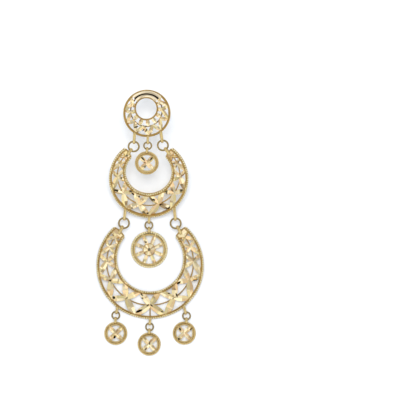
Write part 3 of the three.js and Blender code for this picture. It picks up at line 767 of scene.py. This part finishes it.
class EARRING_OT_top_disc(Operator):
    """Pierced ear disc with its plain polished band"""
    bl_idname = "earring.top_disc"
    bl_label = "Ear disc"

    def execute(self, context):
        sizes = context.scene.earring_sizes
        cut, wire, rim, _ = metals()
        steps = sizes.wire_steps
        bm = bmesh.new()
        spun_rim(bm, "disc", plain_rim_profile(0.62), steps=steps)
        spun_rim(bm, "disc_hole", mirrored(plain_rim_profile(0.45)), steps=steps)
        spun_rim(bm, "disc_wire", DISC_WIRE_PROFILE, steps=steps)
        finish_piece(bm, "top_disc_rims", "top_disc", [wire], "top_disc", 40.0)
        loops_of("top_disc", rim)
        self.band(bpy.data.materials["band_gold"])
        self.lattice(sizes, cut)
        return {"FINISHED"}

    def band(self, metal):
        bm = bmesh.new()

        def place(share, across):
            turn = 2 * share - 1
            outer = rim_point("disc", TOP + BAND_TURNS["outer"] * turn, 0.05)
            inner = rim_point("disc_hole", TOP + BAND_TURNS["inner"] * turn, -0.05)
            spot = inner.lerp(outer, (across + 1) / 2)
            spot.z = BAND_HEIGHT + BAND_CROWN * max(0.0, 1 - across * across) ** 0.5
            return spot

        shaped_slab(bm, 48, 24, place, BAND_BASE)
        finish_piece(bm, "top_disc_band", "top_disc", [metal], "top_disc", 50.0)

    def lattice(self, sizes, cut):
        chance = random.Random(3)
        bm = bmesh.new()
        x, y = ELLIPSES["disc_hole"][:2]
        wx, wy, reach = ELLIPSES["disc_wire"][:3]
        for turn in SPOKE_TURNS:
            start = rim_point("disc_hole", turn, -0.25)
            out = (start - Vector((x, y, 0.0))).normalized()
            off = start - Vector((wx, wy, 0.0))
            half = off.dot(out)
            end = start + out * ((half * half - off.length_squared + reach * reach) ** 0.5 - half)
            petal(bm, start, end, SPOKE_WIDTH, sizes, chance)
        for turn in ZIGZAG_TURNS:
            foot = rim_point("disc_wire", turn)
            for side in (-1, 1):
                end = rim_point("disc", turn + side * ZIGZAG_STEP / 2, RIM_WIDTH / 2)
                petal(bm, foot, end, ZIGZAG_PETAL_WIDTH, sizes, chance)
        level_cuts(bm, "top_disc")
        finish_piece(bm, "top_disc_lattice", "top_disc", [cut], "top_disc", 6.0, 4)


class EARRING_OT_ear_post(Operator):
    """Ear post on its solder pad"""
    bl_idname = "earring.ear_post"
    bl_label = "Ear post"

    def execute(self, context):
        low, high = (Vector(corner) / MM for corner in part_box("ear_post"))
        bm = bmesh.new()
        pad, post, tip = 0.9, 0.4, 0.12
        profile = [
            (0.0, low.z), (post - tip, low.z), (post - 0.03, low.z + 0.06), (post, low.z + tip),
            (post, low.z + 1.3), (post - 0.09, low.z + 1.45), (post - 0.09, low.z + 1.65),
            (post, low.z + 1.8), (post, high.z - 0.42), (post + 0.05, high.z - 0.32),
            (pad - 0.06, high.z - 0.3), (pad, high.z - 0.24), (pad, high.z), (0.0, high.z),
        ]
        turned(bm, profile, 40)
        middle = Matrix.Translation(((low.x + high.x) / 2 * MM, (low.y + high.y) / 2 * MM, 0.0))
        bmesh.ops.transform(bm, matrix=middle @ Matrix.Scale(MM, 4), verts=bm.verts)
        finish_piece(bm, "ear_post_pin", "ear_post", [metals()[1]])
        return {"FINISHED"}


class EARRING_OT_medallion(Operator):
    """Flower medallion: eight petals between a raised hub and a beaded rim"""
    bl_idname = "earring.medallion"
    bl_label = "Medallion"

    def execute(self, context):
        sizes = context.scene.earring_sizes
        cut, _, rim, bead = metals()
        bm = bmesh.new()
        profile = wire_rim_profile(MEDALLION_RIM_WIDTH, MEDALLION_RIM_WIRE)
        spun_rim(bm, "medallion", profile, steps=sizes.wire_steps)
        finish_piece(bm, "medallion_rim", "medallion", [rim], "medallion", 40.0)
        loops_of("medallion", rim)
        bm = bmesh.new()
        radius = sizes.bead / MM / 2
        bead_row(bm, "medallion", radius + 0.06, 1.15 * radius, sizes.pitch / MM)
        finish_piece(bm, "medallion_milgrain", "medallion", [bead], "medallion", 180.0)
        bm = bmesh.new()
        chance = random.Random(8)
        for i in range(MEDALLION_PETALS):
            turn = 360.0 * (i + 0.5) / MEDALLION_PETALS
            start = rim_point("medallion", turn, ELLIPSES["medallion"][2] - MEDALLION_PETAL_START)
            end = rim_point("medallion", turn, MEDALLION_PETAL_END)
            petal(bm, start, end, MEDALLION_PETAL_WIDTH, sizes, chance)
        level_cuts(bm, "medallion")
        finish_piece(bm, "medallion_petals", "medallion", [cut], "medallion", 6.0, 9)
        bm = bmesh.new()
        turned(bm, HUB_PROFILE, 16)
        finish_piece(bm, "medallion_hub", "medallion", [cut], "medallion", 6.0, 10)
        return {"FINISHED"}


class EARRING_OT_drops(Operator):
    """Four round drops, each a beaded rim round a cross of petals"""
    bl_idname = "earring.drops"
    bl_label = "Drops"

    def execute(self, context):
        sizes = context.scene.earring_sizes
        cut, _, rim, _ = metals()
        for piece, (outline, seed) in DROPS.items():
            bm = bmesh.new()
            spun_rim(bm, outline, wire_rim_profile(DROP_RIM_WIDTH, DROP_RIM_WIRE), steps=sizes.wire_steps)
            finish_piece(bm, f"{piece}_rim", piece, [rim], piece, 40.0)
            loops_of(piece, rim)
            bm = bmesh.new()
            radius = 0.55 * sizes.bead / MM
            bead_row(bm, outline, radius + 0.02, radius, sizes.pitch / MM)
            finish_piece(bm, f"{piece}_milgrain", piece, [rim], piece, 180.0)
            bm = bmesh.new()
            chance = random.Random(seed)
            for turn in (45, 135, -135, -45):
                end = rim_point(outline, turn, DROP_RIM_WIDTH / 2)
                petal(bm, Vector((0.0, 0.0, 0.0)), end, DROP_PETAL_WIDTH, sizes, chance)
            level_cuts(bm, piece)
            finish_piece(bm, f"{piece}_petals", piece, [cut], piece, 6.0, seed)
        return {"FINISHED"}


class EARRING_OT_rings(Operator):
    """Nine round jump rings"""
    bl_idname = "earring.rings"
    bl_label = "Jump rings"

    def execute(self, context):
        metals()
        wire = bpy.data.materials["ring_gold_painted_shade"]
        for ring, (size, above, turn, below, place) in RINGS.items():
            upper = plane_of(above) @ loop_foot(above, turn)
            lower = plane_of(below) @ loop_foot(below, place)
            fall = (lower.z - upper.z) / (lower.y - upper.y)
            low, high = (Vector(corner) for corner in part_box(ring))
            centre = Matrix.Translation((low + high) / 2)
            bm = bmesh.new()
            hanging = centre @ Matrix.Rotation(atan(fall), 4, "X") @ Matrix.Scale(MM, 4)
            torus(bm, (size["outside"] - size["wire"]) / 2, size["wire"] / 2, 56, 16, place=hanging)
            finish_piece(bm, f"{ring}_link", ring, [wire], None, 180.0)
        return {"FINISHED"}


class EARRING_OT_stage(Operator):
    """Pale surface, soft light from above and the camera over the earring"""
    bl_idname = "earring.stage"
    bl_label = "Stage"

    def execute(self, context):
        scene = context.scene
        self.surface(scene)
        self.camera(scene)
        self.lights(scene)
        self.surroundings(scene)
        scene.view_settings.view_transform = "Standard"
        scene.view_settings.look = "None"
        return {"FINISHED"}

    def surface(self, scene):
        bm = bmesh.new()
        bmesh.ops.create_grid(bm, x_segments=2, y_segments=2, size=1.5)
        mesh = bpy.data.meshes.new("surface")
        bm.to_mesh(mesh)
        bm.free()
        material, tree, shader = node_kit("pale_surface")
        where = tree.nodes.new("ShaderNodeTexCoord")
        cloud = tree.nodes.new("ShaderNodeTexNoise")
        cloud.inputs["Scale"].default_value = 30.0
        tree.links.new(where.outputs["Object"], cloud.inputs["Vector"])
        tint = tree.nodes.new("ShaderNodeValToRGB")
        colour = scene.earring_colours.floor
        tint.color_ramp.elements[0].color = (*[c * 0.99 for c in colour], 1.0)
        tint.color_ramp.elements[1].color = (*colour, 1.0)
        tree.links.new(cloud.outputs["Fac"], tint.inputs["Fac"])
        tree.links.new(tint.outputs["Color"], shader.inputs["Base Color"])
        shader.inputs["Roughness"].default_value = 0.6
        mesh.materials.append(material)
        surface = bpy.data.objects.new("surface", mesh)
        scene.collection.objects.link(surface)

    def camera(self, scene):
        data = bpy.data.cameras.new("camera")
        camera = bpy.data.objects.new("camera", data)
        x, y = PICTURE_MIDDLE
        camera.location = (x * MM, y * MM, CAMERA_HEIGHT)
        data.sensor_width = CAMERA_SENSOR
        data.lens = CAMERA_SENSOR * CAMERA_HEIGHT / (PICTURE_WIDTH * MM)
        data.clip_start = 0.01
        scene.collection.objects.link(camera)
        scene.camera = camera

    def lights(self, scene):
        data = bpy.data.lights.new("key_panel", "AREA")
        data.size = PANEL["size"]
        data.energy = PANEL["power"]
        data.color = PANEL["colour"]
        light = bpy.data.objects.new("key_panel", data)
        light.visible_glossy = False
        light.location = PANEL["place"]
        light.rotation_euler = (-Vector(PANEL["place"])).to_track_quat("-Z", "Y").to_euler()
        scene.collection.objects.link(light)

    def surroundings(self, scene):
        """Softboxes overhead, with the dark of the room below them and a dark gap straight above."""
        world = bpy.data.worlds.new("studio")
        scene.world = world
        world.use_nodes = True
        nodes, links = world.node_tree.nodes, world.node_tree.links
        back = nodes["Background"]
        where = nodes.new("ShaderNodeTexCoord")
        split = nodes.new("ShaderNodeSeparateXYZ")
        links.new(where.outputs["Generated"], split.inputs["Vector"])
        patches = nodes.new("ShaderNodeTexNoise")
        patches.inputs["Scale"].default_value = 2.6
        patches.inputs["Detail"].default_value = 1.0
        links.new(where.outputs["Generated"], patches.inputs["Vector"])
        tones = nodes.new("ShaderNodeValToRGB")
        fill_ramp(tones, ROOM_TONES)
        links.new(split.outputs["Z"], tones.inputs["Fac"])
        strength = nodes.new("ShaderNodeMapRange")
        strength.inputs["From Min"].default_value = 0.35
        strength.inputs["From Max"].default_value = 0.65
        strength.inputs["To Min"].default_value = 0.45
        strength.inputs["To Max"].default_value = 1.35
        links.new(patches.outputs["Fac"], strength.inputs["Value"])
        links.new(strength.outputs["Result"], back.inputs["Strength"])
        links.new(tones.outputs["Color"], back.inputs["Color"])


class EARRING_PT_panel(Panel):
    """The earring's sizes, colours and pieces"""
    bl_idname = "EARRING_PT_panel"
    bl_label = "Chandelier earring"
    bl_space_type = "VIEW_3D"
    bl_region_type = "UI"
    bl_category = "Earring"

    def draw(self, context):
        layout = self.layout
        for group in (context.scene.earring_sizes, context.scene.earring_colours):
            column = layout.column(align=True)
            for name in group.__annotations__:
                column.prop(group, name)
        column = layout.column(align=True)
        for operator in OPERATORS:
            column.operator(operator.bl_idname)


OPERATORS = (
    EARRING_OT_stage, EARRING_OT_top_disc, EARRING_OT_ear_post, EARRING_OT_crescents,
    EARRING_OT_medallion, EARRING_OT_drops, EARRING_OT_rings,
)
CLASSES = (EarringSizes, EarringColours, *OPERATORS, EARRING_PT_panel)


def register():
    for cls in CLASSES:
        bpy.utils.register_class(cls)
    bpy.types.Scene.earring_sizes = PointerProperty(type=EarringSizes)
    bpy.types.Scene.earring_colours = PointerProperty(type=EarringColours)


def unregister():
    del bpy.types.Scene.earring_colours
    del bpy.types.Scene.earring_sizes
    for cls in reversed(CLASSES):
        bpy.utils.unregister_class(cls)


def main():
    register()
    bpy.ops.earring.stage()
    bpy.ops.earring.top_disc()
    bpy.ops.earring.ear_post()
    bpy.ops.earring.crescents()
    bpy.ops.earring.medallion()
    bpy.ops.earring.drops()
    bpy.ops.earring.rings()


if __name__ == "__main__":
    main()
